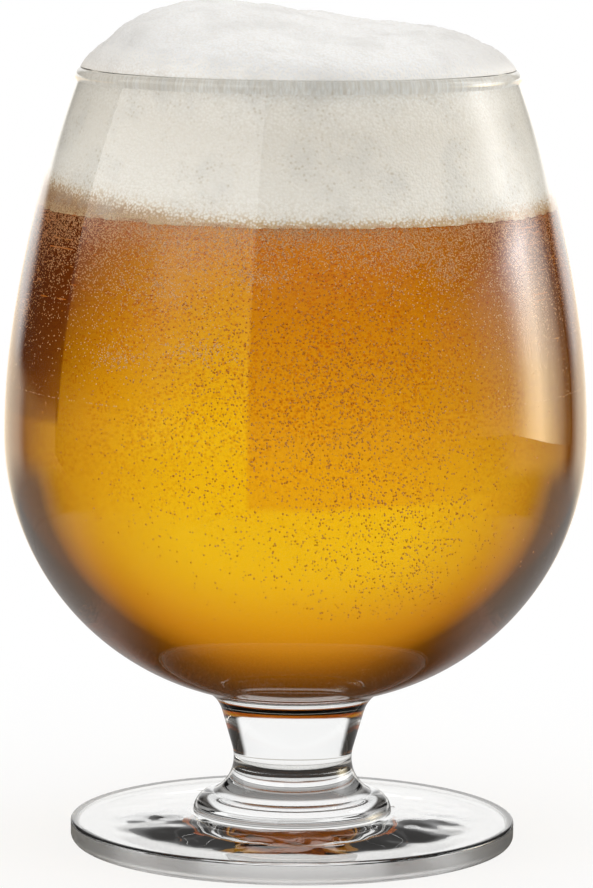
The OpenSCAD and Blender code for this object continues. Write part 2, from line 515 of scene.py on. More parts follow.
@shared
def amber_beer():
    """Clear amber beer, with painted shade that makes it browner just under its head and a little duller at its bottom.
    The wetted glass round it does the bending of the light.
    """
    g, drink, finish, _ = sizes()
    mat, wires, out = new_material("amber_beer")
    height = wires.mapped(wires.axes(wires.place())[2], g.floor_height, drink.level)
    # Painted shade by height: the ramp browns the beer toward its top under the foam and dulls it a little at the
    # bottom
    height_shade = wires.ramp(wires.math("MULTIPLY_ADD", wires.noise(55.0), 0.1, height), [
        (0.0, (0.97, 0.93, 0.9)), (0.12, WHITE), (0.42, WHITE), (0.62, (1.0, 0.94, 0.9)),
        (0.85, (0.95, 0.74, 0.66)), (1.0, tuple(finish.beer_top))])
    grains = wires.mapped(wires.cells(1700.0), 0.52, 0.2)
    swarms = wires.mapped(wires.noise(190.0, Detail=3.0), 0.3, 0.62)
    spots = wires.times(grains, swarms)
    spots = wires.times(spots, wires.mapped(height, 0.3, 0.62))
    beer = wires.add("BsdfPrincipled", {
        "Base Color": wires.mix(height_shade, tuple(finish.speckle), spots, "MULTIPLY"),
        "Roughness": 0.0, "IOR": 1.0, "Transmission Weight": 1.0})
    body = wires.add("VolumeAbsorption", {"Color": tuple(finish.beer), "Density": finish.beer_density})
    wires.feed(out["Surface"], lamp_pass(wires, beer, WHITE))
    wires.feed(out["Volume"], body.outputs["Volume"])
    return mat


def foam_group():
    """Shared structure of froth: cells of several sizes, as masks and a bump."""
    name = "froth_structure"
    if name in bpy.data.node_groups:
        return bpy.data.node_groups[name]
    group, wires, given, out = new_group(
        name, {"Cell": 0.7, "Depth": 0.4}, ["Hollow", "Walls", "Patches"], "Normal")
    fine, coarse, lumps = wires.cells(2300.0), wires.cells(1150.0), wires.noise(110.0, Detail=5.0)
    both = wires.math("MULTIPLY_ADD", coarse, given["Cell"], fine)
    relief = wires.math("MULTIPLY_ADD", lumps, 0.8, both)
    bump = wires.add("Bump", {"Distance": 0.25 * MM, "Strength": given["Depth"], "Height": relief})
    hollow = wires.times(wires.mapped(coarse, 0.34, 0.1), wires.mapped(lumps, 0.42, 0.6))
    wires.feed(out["Hollow"], hollow)
    wires.feed(out["Walls"], wires.mapped(fine, 0.2, 0.75))
    wires.feed(out["Patches"], lumps)
    wires.feed(out["Normal"], bump.outputs["Normal"])
    return group


@shared
def white_froth():
    """Froth that is cream inside the glass, whiter on its dry crown and tan where it breaks up into the beer. Painted
    light brightens it just under the rim, and painted shade darkens the sides of the crown.
    """
    g, drink, finish, _ = sizes()
    rim, level = g.rim_height, drink.level
    cell_colour, shade = tuple(finish.foam_cells), tuple(finish.foam_shade)
    mat, wires, out = new_material("white_froth")
    cells = wires.add("Group", node_tree=foam_group()).outputs
    x, _, z = wires.axes(wires.place())

    # The tan edge lies lowest a little to the right of the middle, and the cells make it grainy
    lean = wires.math("SUBTRACT", x, 10.0 * MM)
    height = wires.math("MULTIPLY_ADD", wires.times(lean, lean), -1.9, z)
    height = wires.math("MULTIPLY_ADD", cells["Walls"], -2.0 * MM, height)
    # Painted light: the ramp brightens the top of the collar just under the rim, against the shade under the crown's
    # lap
    colour = wires.ramp(wires.mapped(height, level - 4.2 * MM, rim + 3.0 * MM), [
        (0.0, (0.34, 0.17, 0.07)), (0.04, (0.52, 0.33, 0.18)), (0.08, (0.80, 0.69, 0.56)),
        (0.115, (0.90, 0.84, 0.76)), (0.2, (0.93, 0.88, 0.81)), (0.55, tuple(finish.foam)),
        (0.72, (0.92, 0.87, 0.80)), (0.84, (1.0, 0.985, 0.95)), (0.93, tuple(finish.foam_crown))])
    colour = wires.mix(colour, cell_colour, wires.times(cells["Walls"], 0.22))
    in_glass = wires.mapped(z, rim, rim - 2.0 * MM, end=0.8)
    colour = wires.mix(colour, cell_colour, wires.times(cells["Hollow"], in_glass))

    # Painted shade darkens the sides of the crown, and some patches are duller
    crown_side_shade = wires.mapped(wires.times(x, x), (17.0 * MM) ** 2, (36.0 * MM) ** 2, end=0.75)
    on_crown = wires.mapped(z, rim - 1.0 * MM, rim + 2.0 * MM)
    colour = wires.mix(colour, shade, wires.times(crown_side_shade, on_crown))
    colour = wires.mix(colour, shade, wires.mapped(cells["Patches"], 0.48, 0.66, end=0.3))

    # Beer stands between the lowest cells
    low = wires.mapped(z, level + 0.8 * MM, level - 1.2 * MM, end=0.62)
    wet = wires.mapped(wires.math("ADD", cells["Walls"], low), 0.75, 1.05, end=0.55)
    ends = wires.times(low, 4.0, use_clamp=True)
    colour = wires.mix(colour, tuple(finish.foam_wet), wires.times(wet, ends, use_clamp=True))
    froth = wires.add("BsdfPrincipled", {
        "Base Color": colour, "Roughness": 0.62, "Specular IOR Level": 0.15, "Normal": cells["Normal"]})
    wires.feed(out["Surface"], froth.outputs["BSDF"])
    return mat


@shared
def bubble_skin():
    """Bubbles in the beer: pale under the foam and dark where they are seen against the light."""
    finish = sizes()[2]
    mat, wires, out = new_material("bubble_skin")
    tone = wires.add("Attribute", attribute_name="tone").outputs["Fac"]
    colour = wires.ramp(tone, [(0.0, tuple(finish.rising)), (1.0, tuple(finish.fizz))])
    skin = wires.add("BsdfPrincipled", {"Base Color": colour, "Roughness": 0.5, "Specular IOR Level": 0.0})
    wires.feed(out["Surface"], skin.outputs["BSDF"])
    return mat


def displace(piece, group, name, grain, strength, depth=2):
    """Pushes the faces of a vertex group in and out with a cloud of a given grain."""
    cloud = bpy.data.textures.new(name, "CLOUDS")
    cloud.noise_scale = grain
    cloud.noise_depth = depth
    push = piece.modifiers.new(name, "DISPLACE")
    push.texture = cloud
    push.texture_coords = "LOCAL"
    push.vertex_group = group
    push.strength = strength
    push.mid_level = 0.5
    activate(piece)
    bpy.ops.object.modifier_apply(modifier=push.name)


class GlassPiece:
    """Shared finish of the glass operators."""
    bl_options = {"REGISTER", "UNDO"}

    def finish(self, piece, piece_node, seams):
        """Gives a piece its glass, hides its seats at the given heights and places it."""
        piece.data.materials.append(dry_glass())
        piece.data.materials.append(fused_seam())
        seam_faces(piece, seams)
        smooth(piece)
        place(piece, piece_node, "clear_glass")
        return {"FINISHED"}


class CHALICE_OT_bowl(GlassPiece, bpy.types.Operator):
    """Adds the bowl, with its rim bead, its tapering wall and the fillet over the stem"""
    bl_idname = "chalice.bowl"
    bl_label = "Bowl"

    def execute(self, context):
        g, drink, _, _ = sizes()
        step = 1.0 * MM
        lines = BowlLines(g)
        seat_r = stem_lines(g)[2]
        out = (math.cos(g.taper), -math.sin(g.taper))
        hollow = (seat_r + g.neck_fillet * out[0], g.seat_height + g.neck_fillet * out[1])
        touch = min(crossing(lines.cup, g.cup_r, hollow, g.neck_fillet, side) for side in (1, -1))
        outline = flat(seat_r, g.seat_height, 4)
        outline += arc(hollow, g.neck_fillet, math.pi - g.taper, heading(hollow, touch), step / 3)
        outline += arc(lines.cup, g.cup_r, heading(lines.cup, touch), 0.0, step)[1:]
        outline += arc(lines.shoulder, lines.shoulder_r, 0.0, lines.turned, step)[1:]
        meet = crossing(lines.upper, lines.upper_r, lines.bead, lines.bead_r, -1)
        inner_r = lines.upper_r - g.wall
        leave = crossing(lines.upper, inner_r, lines.bead, lines.bead_r, -1)
        outline += arc(lines.upper, lines.upper_r, lines.turned, heading(lines.upper, meet), step)[1:]
        over = heading(lines.bead, leave)
        over += math.tau if over < 0 else 0.0
        outline += arc(lines.bead, lines.bead_r, heading(lines.bead, meet), over, step / 6)[1:]
        outline += arc(lines.upper, inner_r, heading(lines.upper, leave), lines.turned, step)[1:]
        outline += arc(lines.shoulder, lines.shoulder_r - g.wall, lines.turned, 0.0, step)[1:]
        under = (g.belly_r - g.wall - lines.cavity_r, lines.belly_height)
        outline += arc(under, lines.cavity_r, 0.0, -math.pi / 2, step)[1:]
        outline += flat(under[0], g.floor_height, 3)[::-1]
        bowl = lathe("bowl_glass", outline, g.turns)
        done = self.finish(bowl, "bowl", [g.seat_height])
        bowl.data.materials.append(wetted_glass())
        for face in bowl.data.polygons:
            x, y, z = face.center
            inside = lines.radius(g.wall, z) if z > g.floor_height else 0.0
            r = math.hypot(x, y)
            if z > lines.bead[1]:
                wet = r < lines.bead[0] + drink.crown_lap
            elif z > lines.bead[1] - lines.bead_r:
                wet = r < lines.bead[0]
            else:
                wet = r < inside + 0.5 * g.wall and z > g.floor_height - CLOSE
            if wet:
                face.material_index = OTHER_SLOT
        return done


class CHALICE_OT_stem(GlassPiece, bpy.types.Operator):
    """Adds the waisted stem"""
    bl_idname = "chalice.stem"
    bl_label = "Stem"

    def execute(self, context):
        g = sizes()[0]
        step = 0.4 * MM
        waist, side, seat_r = stem_lines(g)
        outline = arc(waist, g.waist_curve, math.pi + g.flare, math.pi - g.taper, step)
        outline = flat(outline[0][0], g.stem_bottom, 4) + outline
        steps = 14
        outline += [
            (side[0] + (seat_r - side[0]) * i / steps, side[1] + (g.seat_height - side[1]) * i / steps)
            for i in range(1, steps + 1)]
        outline += flat(seat_r, g.seat_height, 4)[::-1]
        return self.finish(lathe("stem_glass", outline, g.turns), "stem", [g.seat_height, g.stem_bottom])


class CHALICE_OT_button(GlassPiece, bpy.types.Operator):
    """Adds the round button between the stem and the foot"""
    bl_idname = "chalice.button"
    bl_label = "Button"

    def execute(self, context):
        g = sizes()[0]
        height = g.stem_bottom - g.foot_top
        inner = g.button_r - height
        outline = flat(g.button_r, g.foot_top, 4)
        outline += arc((inner, g.foot_top), height, 0.0, math.pi / 2, 0.3 * MM)
        outline += flat(inner, g.stem_bottom, 4)[::-1]
        return self.finish(lathe("button_glass", outline, g.turns), "button", [g.foot_top, g.stem_bottom])


class CHALICE_OT_foot(GlassPiece, bpy.types.Operator):
    """Adds the flat foot with its rounded edge and dished underside"""
    bl_idname = "chalice.foot"
    bl_label = "Foot"

    def execute(self, context):
        g = sizes()[0]
        corner = g.foot_r - g.edge_round
        dish_edge = corner - g.ring
        dish_r = (dish_edge ** 2 + g.dish ** 2) / (2 * g.dish)
        outline = arc((0.0, g.dish - dish_r), dish_r, math.pi / 2, math.acos(dish_edge / dish_r), 1.5 * MM)
        outline += [(dish_edge + g.ring * i / 3, 0.0) for i in (1, 2)]
        outline += arc((corner, g.edge_round), g.edge_round, -math.pi / 2, 0.0, 0.25 * MM)
        lip = g.foot_r - g.edge_top
        outline += arc((lip, g.foot_edge - g.edge_top), g.edge_top, 0.0, math.pi / 2, 0.12 * MM)
        outline += [(lip + (g.mound_r - lip) * i / 6, g.foot_edge) for i in range(1, 6)]
        steps = 30
        rise = g.foot_top - g.foot_edge
        outline += [
            (g.mound_r + (g.button_r - g.mound_r) * t, g.foot_edge + rise * t * t * (3.0 - 2.0 * t))
            for t in (i / steps for i in range(steps + 1))]
        outline += flat(g.button_r, g.foot_top, 4)[::-1]
        foot = lathe("foot_glass", outline, g.turns)
        mound = foot.vertex_groups.new(name="mound")
        for v in foot.data.vertices:
            r = math.hypot(v.co.x, v.co.y)
            t = (r - g.button_r) / (g.mound_r - g.button_r)
            if v.co.z > g.foot_edge - CLOSE and 0.0 < t < 1.0:
                mound.add([v.index], math.sin(math.pi * t) ** 1.2, "REPLACE")
        displace(foot, mound.name, "swirl", 7.5 * MM, g.swirl, 1)
        done = self.finish(foot, "foot", [g.foot_top])
        foot.data.materials.append(ground_edge())
        for face in foot.data.polygons:
            x, y, z = face.center
            if math.hypot(x, y) > corner and z < g.foot_edge - g.edge_top:
                face.material_index = OTHER_SLOT
        return done


class CHALICE_OT_beer(bpy.types.Operator):
    """Adds the beer, which wets the glass up to the foam"""
    bl_idname = "chalice.beer"
    bl_label = "Beer"
    bl_options = {"REGISTER", "UNDO"}

    def execute(self, context):
        g, drink, _, _ = sizes()
        outline = BowlLines(g).inside(g.wall + drink.film, drink.level, 1.0 * MM)
        outline += flat(outline[-1][0], drink.level, 8)[::-1]
        beer = lathe("beer_body", outline, g.turns)
        beer.data.materials.append(amber_beer())
        smooth(beer)
        place(beer, "beer", "beer")
        return {"FINISHED"}


def crown_ridge(x):
    """Height of the crown along its middle, as a share, at a place across the mouth from -1 to 1."""
    points = (
        (-1.0, 0.0), (-0.93, 0.27), (-0.84, 0.55), (-0.75, 0.79), (-0.64, 0.93), (-0.45, 1.0), (-0.25, 0.98),
        (0.0, 0.87), (0.22, 0.75), (0.42, 0.68), (0.6, 0.65), (0.74, 0.55), (0.85, 0.4), (0.94, 0.19), (1.0, 0.0))
    for (x0, h0), (x1, h1) in zip(points, points[1:]):
        if x <= x1:
            t = min(1.0, max(0.0, (x - x0) / (x1 - x0)))
            return h0 + (h1 - h0) * t
    return 0.0


def crown_height(x, y, lip, rise):
    """Height of the crown above the rim at a place over the mouth. The ridge is smoothed, but not at its ends."""
    across = lip * lip - x * x
    if across <= 0:
        return 0.0
    fullness, smoothed_over, ends_over = 0.42, 0.08, 0.06
    bulge = max(0.0, 1.0 - y * y / across) ** fullness
    ridge = sum(crown_ridge(x / lip + smoothed_over * k / 3) for k in range(-3, 4)) / 7
    edge = min(1.0, (1.0 - abs(x) / lip) / ends_over)
    ridge = ridge * edge + crown_ridge(x / lip) * (1 - edge)
    return rise * ridge * bulge


class CHALICE_OT_foam(bpy.types.Operator):
    """Adds the head of foam: a collar in the mouth of the bowl and a crown that swells over the rim"""
    bl_idname = "chalice.foam"
    bl_label = "Foam head"
    bl_options = {"REGISTER", "UNDO"}

    def execute(self, context):
        g, drink, _, _ = sizes()
        lines = BowlLines(g)
        step = 0.6 * MM
        low = drink.level - drink.froth_dip
        inset = g.wall + drink.film
        mouth = lines.bead[0] - lines.bead_r - drink.film
        lip = lines.bead[0] + drink.crown_lap
        base = g.rim_height + drink.film
        edge_calm = 3.0 * MM
        start = lines.wall_top(inset, low)
        collar_top = lines.bead[1] - lines.bead_r - drink.film
        wall = arc(lines.upper, lines.upper_r - inset, start, lines.wall_top(inset, collar_top), step)
        outline = flat(wall[0][0], low, 30) + wall
        outline += [(mouth, lines.bead[1]), (mouth, base)]
        outline += [(mouth + (lip - mouth) * i / 5, base) for i in range(1, 6)]
        rings = 96
        outline += [(lip * math.sin(math.pi / 2 * (1 - i / rings)), base) for i in range(1, rings + 1)]
        foam = lathe("foam_froth", outline, 2 * g.turns)
        crown = foam.vertex_groups.new(name="crown")
        froth_edge = foam.vertex_groups.new(name="froth_edge")
        for v in foam.data.vertices:
            x, y, z = v.co
            r = math.hypot(x, y)
            if z > base - CLOSE and r < lip - 1e-7:
                inward = min(1.0, (lip - r) / edge_calm)
                if r < mouth - CLOSE or r > mouth + CLOSE:
                    v.co.z = base + crown_height(x, y, lip, drink.crown_rise - drink.film)
                crown.add([v.index], inward, "REPLACE")
            elif z < low + CLOSE:
                froth_edge.add([v.index], 1.0, "REPLACE")
        face_outwards(foam)
        for name, group, grain, strength in (
                ("swell", crown.name, 11.0 * MM, 1.7 * MM), ("lumps", crown.name, 3.6 * MM, 1.0 * MM),
                ("grain", crown.name, 1.2 * MM, 0.34 * MM), ("froth", froth_edge.name, 1.6 * MM, 0.9 * MM)):
            displace(foam, group, f"foam_{name}", grain, strength)
        foam.data.materials.append(white_froth())
        smooth(foam, 75.0)
        place(foam, "foam_head", "foam")
        return {"FINISHED"}


def spheres(name, rows, segments, rings):
    """One mesh of small round bubbles, copied from one ball. rows are (place, radius, tone)."""
    deselect()
    bpy.ops.mesh.primitive_uv_sphere_add(segments=segments, ring_count=rings, radius=1.0, location=(0.0, 0.0, 0.0))
    piece = bpy.context.object
    piece.name = piece.data.name = name
    ball = [tuple(v.co) for v in piece.data.vertices]
    sides = [tuple(face.vertices) for face in piece.data.polygons]
    corners, faces, tones = [], [], []
    for at, radius, tone in rows:
        first = len(corners)
        corners += [(at.x + radius * x, at.y + radius * y, at.z + radius * z) for x, y, z in ball]
        faces += [tuple(first + i for i in side) for side in sides]
        tones += [tone] * len(ball)
    piece.data.clear_geometry()
    piece.data.from_pydata(corners, [], faces)
    piece.data.attributes.new("tone", "FLOAT", "POINT").data.foreach_set("value", tones)
    piece.data.shade_smooth()
    piece.data.materials.append(bubble_skin())
    place(piece, None, "beer")


def at_wall(lines, angle, height, radius, depth):
    """Place of a bubble against the inside of the bowl."""
    r = lines.radius(lines.g.wall, height) - depth - radius
    return Vector((r * math.cos(angle), r * math.sin(angle), height))


class CHALICE_OT_fizz(bpy.types.Operator):
    """Adds the fine fizz that hangs under the foam, in a band and in a few clumps"""
    bl_idname = "chalice.fizz"
    bl_label = "Fizz"
    bl_options = {"REGISTER", "UNDO"}

    def execute(self, context):
        g, drink, _, _ = sizes()
        lines = BowlLines(g)
        draw = random.Random(drink.seed)
        rows = []
        top = drink.level - drink.froth_dip
        # Clumps: angle and height in degrees and mm, then how far they spread in each
        clumps = (
            (-110.0, 91.0, 4.0, 1.2), (-128.0, 89.0, 4.0, 1.3), (-56.0, 104.0, 2.0, 1.6), (-165.0, 94.0, 3.0, 1.5),
            (-98.0, 103.0, 4.0, 1.0), (-122.0, 100.0, 6.0, 1.6), (-64.0, 107.0, 5.0, 1.6), (40.0, 97.0, 4.0, 1.5))
        clumped, frothed = 2000, 9000
        deepest = 30.0 * MM
        for i in range(drink.fizz):
            radius = draw.uniform(0.07, 0.13) * MM
            depth = drink.film + draw.uniform(0.0, 0.3) * MM
            angle = draw.uniform(0.0, math.tau)
            if i < clumped:
                angle0, height0, spread, tall = clumps[i % len(clumps)]
                angle = math.radians(draw.gauss(angle0, spread))
                height = min(draw.gauss(height0, tall) * MM, top - radius)
            elif i < clumped + frothed:
                radius = draw.uniform(0.05, 0.09) * MM
                depth = drink.film - radius
                over = (0.8 + 2.4 * math.cos(angle) ** 2) * MM
                height = top + over * (1.0 - math.sqrt(draw.random()))
            else:
                away = abs(math.sin(1.5 * (angle + math.radians(88.0))))
                drop = min(draw.expovariate(1.0 / ((1.8 + 4.6 * away) * MM)), deepest)
                height = top - drop - radius
            # Painted shade: fizz toward the left and right of the bowl is toned darker, to go with the dark edges of
            # the beer
            tone = draw.uniform(0.55, 1.0) - 0.35 * math.cos(angle) ** 6
            rows.append((at_wall(lines, angle, height, radius, depth), radius, tone))
        half = len(rows) // 2
        spheres("beer_fizz_1", rows[:half], 4, 2)
        spheres("beer_fizz_2", rows[half:], 4, 2)
        return {"FINISHED"}


class CHALICE_OT_bubbles(bpy.types.Operator):
    """Adds the bubbles that rise along the inside of the glass"""
    bl_idname = "chalice.bubbles"
    bl_label = "Bubbles"
    bl_options = {"REGISTER", "UNDO"}

    def execute(self, context):
        g, drink, _, _ = sizes()
        lines = BowlLines(g)
        draw = random.Random(drink.seed + 1)
        rows = []
        top = drink.level - drink.froth_dip
        # Swarms: angle and height in degrees and mm, then how far they spread in each
        swarms = (
            (-76.0, 74.0, 17.0, 13.0), (-66.0, 55.0, 11.0, 6.0), (-84.0, 92.0, 20.0, 8.0), (-112.0, 74.0, 14.0, 10.0))
        share_of = (4.5, 0.6, 3.5, 0.9)
        lowest, highest = 46.0 * MM, top - 3.0 * MM
        for _ in range(drink.rising):
            angle0, height0, spread, tall = draw.choices(swarms, share_of)[0]
            angle = math.radians(draw.gauss(angle0, spread))
            height = draw.gauss(height0, tall) * MM
            if not lowest < height < highest:
                continue
            radius = draw.uniform(0.07, 0.19) * MM
            depth = drink.film + min(abs(draw.gauss(0.0, 1.2)), 4.0) * MM
            rows.append((at_wall(lines, angle, height, radius, depth), radius, draw.uniform(0.0, 0.25)))
        spheres("beer_bubbles", rows, 5, 3)
        return {"FINISHED"}


class Studio:
    """What light finds beyond the table, by its direction: aside is counted from the far side, up from level."""

    def __init__(self, wires):
        self.wires = wires
        x, y, z = wires.axes(wires.add("TexCoord").outputs["Generated"])
        self.aside = wires.math("ARCTAN2", x, y)
        self.turned = wires.math("ABSOLUTE", self.aside)
        self.up = wires.math("ARCSINE", z)

    def rise(self, angle, low, high):
        """Goes from 0 to 1 as an angle goes from low to high, in degrees."""
        return self.wires.mapped(angle, math.radians(low), math.radians(high), curve="SMOOTHSTEP")

    def oval(self):
        """Distance from the middle of a flat oval, which is 1 on its edge."""
        math_of, times = self.wires.math, self.wires.times
        wide, high, low, middle = (math.radians(a) for a in (43.5, 27.5, 23.0, 2.0))
        above = math_of("DIVIDE", math_of("SUBTRACT", self.up, middle), high)
        below = math_of("DIVIDE", math_of("SUBTRACT", middle, self.up), low)
        height = math_of("MAXIMUM", above, below)
        across = math_of("DIVIDE", self.aside, wide)
        return math_of("SQRT", math_of("ADD", times(across, across), times(height, height)))

    def backdrop(self):
        """A bright oval that browns outwards, which the bowl of beer shows from limb to limb."""
        wires, reach = self.wires, 1.6
        away = wires.math("DIVIDE", self.oval(), reach)

        def browning(*outer):
            inner = ((0.25, WHITE), (0.5, (0.87, 0.83, 0.80)))
            return wires.ramp(away, [(at / reach, colour) for at, colour in (*inner, *outer)])

        soft = browning(
            (0.68, (0.70, 0.60, 0.54)), (0.80, (0.50, 0.39, 0.32)), (0.92, (0.33, 0.24, 0.18)),
            (1.06, (0.20, 0.145, 0.11)), (1.3, (0.08, 0.065, 0.055)))
        sharp = browning(
            (0.68, (0.66, 0.55, 0.48)), (0.82, (0.37, 0.28, 0.22)), (0.92, (0.12, 0.09, 0.075)),
            (1.15, (0.075, 0.06, 0.05)))
        lower = browning(
            (0.7, (0.70, 0.60, 0.54)), (0.92, (0.42, 0.31, 0.23)), (1.02, (0.27, 0.16, 0.10)),
            (1.12, (0.22, 0.125, 0.08)), (1.35, (0.13, 0.075, 0.045)))
        upper = wires.mix(soft, sharp, self.rise(self.turned, 8.0, 26.0))
        colours = wires.mix(lower, upper, self.rise(self.up, -3.0, 4.0))
        return wires.mix(colours, (0.48, 0.455, 0.42), self.rise(self.turned, 56.0, 80.0))

    def through_beer(self):
        """The backdrop under a lit sky, with a window and a dark strip. The beer shows it upside down."""
        wires, rise, aside, up = self.wires, self.rise, self.aside, self.up
        sky = rise(up, -0.4, 0.5)
        strip = wires.times(rise(aside, 31.0, 31.8), rise(up, -5.8, -7.2))
        window = wires.times(rise(aside, 4.0, 4.6), wires.math("SUBTRACT", 1.0, strip))
        climb = rise(up, -8.0, -2.0)
        near = wires.mix((1.18, 1.48, 1.2), (1.09, 1.28, 1.1), climb)
        outer = wires.mix((1.12, 1.15, 1.2), (1.03, 1.0, 1.05), climb)
        lit = wires.mix(near, outer, rise(self.turned, 6.0, 25.0))
        lit = wires.mix(lit, (1.0, 0.83, 1.0), rise(up, 3.0, 19.0))
        lit = wires.mix(WHITE, lit, wires.math("MAXIMUM", sky, window))
        lit = wires.mix(lit, (0.62, 0.5, 0.6), strip)
        return wires.mix(self.backdrop(), lit, 1.0, "MULTIPLY")

    def through_glass(self):
        """White behind the glass and dark beside it, so that its edges are drawn in dark lines."""
        wires, rise, up = self.wires, self.rise, self.up
        clear = wires.mix(WHITE, (0.045, 0.04, 0.035), rise(self.turned, 38.0, 47.0))
        clear = wires.mix(clear, (0.38, 0.37, 0.36), rise(up, 28.0, 42.0))
        clear = wires.mix(clear, (0.42, 0.40, 0.37), rise(self.turned, 95.0, 120.0))
        low_sky = wires.mix((0.46, 0.43, 0.38), grey(0.95), rise(up, -8.0, -4.0))
        return wires.mix(low_sky, clear, rise(up, -2.0, 1.5))

    def mirrored(self, path):
        """A bright far wall with a warm edge, for the limbs to mirror. A ray mirrored twice finds the dark."""
        wires, rise, turned, up = self.wires, self.rise, self.turned, self.up
        dark, cream = grey(0.03), (1.35, 1.15, 0.9)

        def zone(colour, start, end):
            return wires.mix(colour, dark, rise(turned, start, end))

        right = wires.over(self.aside, 0.0)
        beside = wires.mix(zone(cream, 36.0, 51.0), zone(cream, 29.0, 43.0), right)
        warm = wires.mix((0.8, 0.5, 0.2), (1.3, 0.85, 0.4), right)
        warm_side = wires.times(rise(turned, 42.0, 52.0), rise(turned, 98.0, 78.0))
        beside = wires.mix(beside, warm, warm_side)
        beside = wires.mix(beside, zone((1.4, 1.38, 1.34), 28.0, 41.0), rise(up, -4.5, -2.0))
        over = wires.mix(zone(WHITE, 12.0, 24.0), (0.2, 0.195, 0.19), rise(up, 13.0, 19.0))
        beside = wires.mix(beside, over, rise(up, 0.5, 3.5))
        under = zone((0.42, 0.41, 0.40), 58.0, 72.0)
        seen = wires.mix(under, beside, rise(up, -14.0, -8.0))
        return wires.mix(seen, dark, wires.over(path["Glossy Depth"], 1.5))


class CHALICE_OT_stage(bpy.types.Operator):
    """Adds the pale table, the light and the camera"""
    bl_idname = "chalice.stage"
    bl_label = "Stage"
    bl_options = {"REGISTER", "UNDO"}

    def execute(self, context):
        stage = sizes()[3]
        scene = context.scene
        scene.view_settings.view_transform = "Standard"
        self.table(stage)
        self.world(scene)
        self.lamps(scene)
        self.cards()
        self.camera(scene, stage)
        return {"FINISHED"}

    def table(self, stage):
        """A round table that fades to white. Bent and mirrored rays find it duller, or not at all far out."""
        deselect()
        bpy.ops.mesh.primitive_circle_add(
            vertices=96, radius=stage.table_r, fill_type="NGON", location=(0.0, 0.0, 0.0))
        table = bpy.context.object
        table.name = "table_top"
        bpy.ops.object.mode_set(mode="EDIT")
        bpy.ops.transform.translate(value=(0.0, 0.0, -0.2 * MM))
        bpy.ops.object.mode_set(mode="OBJECT")
        mat, wires, out = new_material("pale_table")
        place = wires.place()
        far = wires.add("VectorMath", {0: place}, operation="LENGTH").outputs["Value"]
        ahead = wires.math("DIVIDE", wires.axes(place)[1], wires.math("MAXIMUM", far, MM))

        def fade(near, away, start, end):
            """Goes from start to end between two distances from the glass, in metres."""
            return wires.mapped(far, near, away, start, end, "SMOOTHSTEP")

        path = wires.add("LightPath").outputs
        matt = wires.add("BsdfDiffuse", {"Color": (0.86, 0.86, 0.85)}).outputs["BSDF"]
        gone = wires.add("BsdfTransparent").outputs["BSDF"]
        pale = wires.choose(fade(0.05, 0.2, 0.75, 1.0), matt, wires.emission(WHITE))

        deep = wires.over(path["Transmission Depth"], BEER_BENDS)
        bent = wires.choose(wires.times(deep, fade(0.095, 0.125, 0.0, 1.0)), pale, gone)
        thin = wires.math("SUBTRACT", 1.0, deep)
        edge = wires.emission((0.46, 0.43, 0.38))
        bent = wires.choose(wires.times(thin, fade(0.14, 0.2, 0.0, 1.0)), bent, edge)
        caught = wires.over(path["Glossy Depth"], 0.5)
        shade = wires.emission((0.04, 0.036, 0.032))
        bent = wires.choose(wires.times(caught, fade(0.03, 0.06, 1.0, 0.0)), bent, shade)

        beyond = wires.mapped(ahead, -0.35, 0.15, curve="SMOOTHSTEP")
        dull = wires.emission((1.0, 0.98, 0.96), wires.times(fade(0.035, 0.075, 0.0, 0.42), beyond))
        mirrored = wires.choose(fade(0.176, 0.19, 0.0, 1.0), dull, gone)
        shown = wires.choose(path["Is Glossy Ray"], matt, mirrored)
        shown = wires.choose(path["Is Transmission Ray"], shown, bent)
        shown = wires.choose(path["Is Camera Ray"], shown, pale)
        wires.feed(out["Surface"], shown)
        table.data.materials.append(mat)

    def world(self, scene):
        """White for the camera, and a studio for the rays that the glass bends or mirrors."""
        world = bpy.data.worlds.new("studio")
        scene.world = world
        world.use_nodes = True
        world.node_tree.nodes.clear()
        wires = Wiring(world.node_tree)
        studio = Studio(wires)
        path = wires.add("LightPath").outputs
        deep = wires.over(path["Transmission Depth"], BEER_BENDS)
        bent = wires.mix(studio.through_glass(), studio.through_beer(), deep)
        seen = wires.mix(studio.mirrored(path), bent, path["Is Transmission Ray"])
        seen = wires.mix(seen, grey(0.70), path["Is Diffuse Ray"])
        seen = wires.mix(seen, WHITE, path["Is Camera Ray"])
        glow = wires.add("Background", {"Color": seen}).outputs["Background"]
        wires.feed(wires.add("OutputWorld").inputs["Surface"], glow)

    def lamps(self, scene):
        """Softboxes that light the foam, the bubbles and the table. Rows are name, place, target, sides and watts."""
        for name, at, target, wide, tall, watts in (
                ("softbox_left", (-0.618, -0.447, 0.45), (0.07, -0.2, 0.45), 1.47, 0.8, 1.8),
                ("strip_right", (0.75, 0.14, 0.42), (0.0, 0.0, 0.42), 0.32, 0.75, 2.7),
                ("top_light", (0.0, -0.1, 1.1), (0.0, 0.0, 0.1), 0.8, 0.8, 3.8)):
            data = bpy.data.lights.new(name, "AREA")
            data.shape = "RECTANGLE"
            data.size, data.size_y = wide, tall
            data.energy = watts
            lamp = bpy.data.objects.new(name, data)
            scene.collection.objects.link(lamp)
            lamp.location = at
            way = Vector(target) - Vector(at)
            lamp.rotation_euler = way.to_track_quat("-Z", "Y").to_euler()
            lamp.visible_camera = lamp.visible_glossy = lamp.visible_transmission = False

    def cards(self):
        """The softboxes as the glass mirrors them."""
        left = ((-0.864, 0.245), (-0.618, -0.447), (-0.372, -1.14))
        heights = ((-0.05, -0.45, -0.6), (0.31, 0.39, 0.64), (0.85, 0.95, 1.3))
        across = ((0.0, 0.6), (1.0, 0.6))
        upwards = ((0.0, 0.0), (0.25, 0.0), (0.33, 0.08), (0.40, 0.25), (0.46, 0.8), (0.49, 1.0))
        self.card("card_left", left, heights, across, [(at, grey(level)) for at, level in upwards], 2.4)

